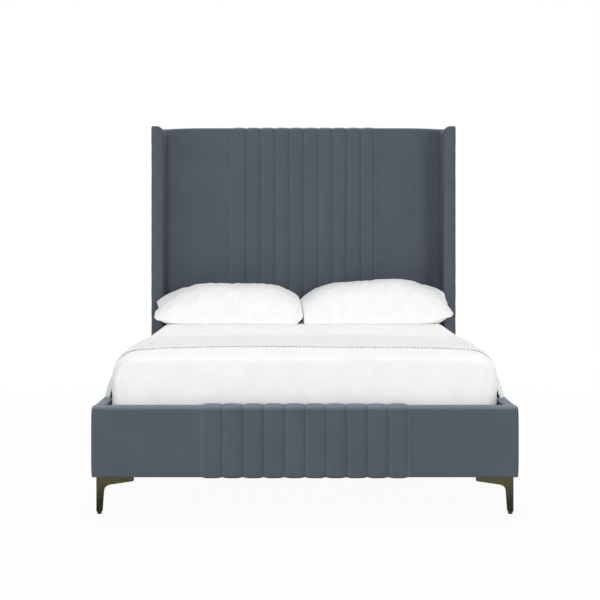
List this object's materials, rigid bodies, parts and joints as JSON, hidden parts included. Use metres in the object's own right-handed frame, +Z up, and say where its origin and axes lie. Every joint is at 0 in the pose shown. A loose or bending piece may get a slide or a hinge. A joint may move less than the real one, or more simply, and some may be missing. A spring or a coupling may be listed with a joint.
{
  "type": "upholstered bed",
  "caption": "Wingback bed in slate velvet with vertical channels on its tall headboard and low footboard, metal corner legs, slatted deck, mattress, duvet, throw and pillows.",
  "frame": {"origin": "on the floor, at the centre of the bed's plan", "axes": "+X across the bed, +Y from the foot to the headboard, +Z up"},
  "size_m": [1.65, 2.1909, 1.672],
  "materials": {
    "velvet": "slate blue velvet over foam",
    "back_cloth": "black spunbond cloth on board",
    "plywood": "raw plywood",
    "pine": "planed pine",
    "zinc_steel": "zinc plated",
    "bronze": "antique bronze plating",
    "black_plastic": "moulded black",
    "mattress_cover": "white cotton sheet",
    "duvet_cotton": "white percale",
    "throw_knit": "pale grey knit",
    "pillow_cotton": "white percale"
  },
  "bodies": {
    "bed_frame": {"beam_hanger_foot": "zinc_steel", "beam_hanger_head": "zinc_steel", "centre_beam": "pine", "corner_bracket_left": "zinc_steel", "corner_bracket_right": "zinc_steel", "footboard_board": "plywood", "footboard_pad": "velvet", "frame_bolts": "zinc_steel", "headboard_back_cover": "back_cloth", "headboard_bottom_rail": "pine", "headboard_centre_upright": "pine", "headboard_cross_rail_left": "pine", "headboard_cross_rail_right": "pine", "headboard_pad": "velvet", "headboard_panel": "plywood", "headboard_stile_left": "pine", "headboard_stile_right": "pine", "headboard_top_rail": "pine", "joint_plate_left": "zinc_steel", "joint_plate_right": "zinc_steel", "leg_front_left": "bronze", "leg_front_right": "bronze", "leg_glides": "black_plastic", "leg_rear_left": "bronze", "leg_rear_right": "bronze", "leg_screws": "zinc_steel", "side_rail_board_left": "plywood", "side_rail_board_right": "plywood", "side_rail_pad_left": "velvet", "side_rail_pad_right": "velvet", "slat_01": "pine", "slat_02": "pine", "slat_03": "pine", "slat_04": "pine", "slat_05": "pine", "slat_06": "pine", "slat_07": "pine", "slat_08": "pine", "slat_09": "pine", "slat_10": "pine", "slat_11": "pine", "slat_12": "pine", "slat_ledger_left": "pine", "slat_ledger_right": "pine", "support_leg_front": "pine", "support_leg_rear": "pine", "wing_board_left": "plywood", "wing_board_right": "plywood", "wing_bolts": "zinc_steel", "wing_pad_left": "velvet", "wing_pad_right": "velvet"},
    "mattress": {"mattress": "mattress_cover"},
    "duvet": {"duvet": "duvet_cotton"},
    "throw": {"throw": "throw_knit"},
    "pillow_left": {"pillow_left": "pillow_cotton"},
    "pillow_right": {"pillow_right": "pillow_cotton"},
    "levelling_foot_front": {"levelling_foot_front": "black_plastic"},
    "levelling_foot_rear": {"levelling_foot_rear": "black_plastic"}
  },
  "joints": [
    {"name": "mattress_lift", "type": "slide", "parent": "bed_frame", "child": "mattress", "axis": [0, 0, 1], "range_m": [0, 0.35]},
    {"name": "duvet_lift", "type": "slide", "parent": "mattress", "child": "duvet", "axis": [0, 0, 1], "range_m": [0, 0.3]},
    {"name": "throw_lift", "type": "slide", "parent": "duvet", "child": "throw", "axis": [0, 0, 1], "range_m": [0, 0.3]},
    {"name": "pillow_left_lift", "type": "slide", "parent": "duvet", "child": "pillow_left", "axis": [0, 0, 1], "range_m": [0, 0.3]},
    {"name": "pillow_right_lift", "type": "slide", "parent": "duvet", "child": "pillow_right", "axis": [0, 0, 1], "range_m": [0, 0.3]},
    {"name": "levelling_front", "type": "slide", "parent": "bed_frame", "child": "levelling_foot_front", "axis": [0, 0, 1], "range_m": [0, 0.012]},
    {"name": "levelling_rear", "type": "slide", "parent": "bed_frame", "child": "levelling_foot_rear", "axis": [0, 0, 1], "range_m": [0, 0.012]}
  ]
}
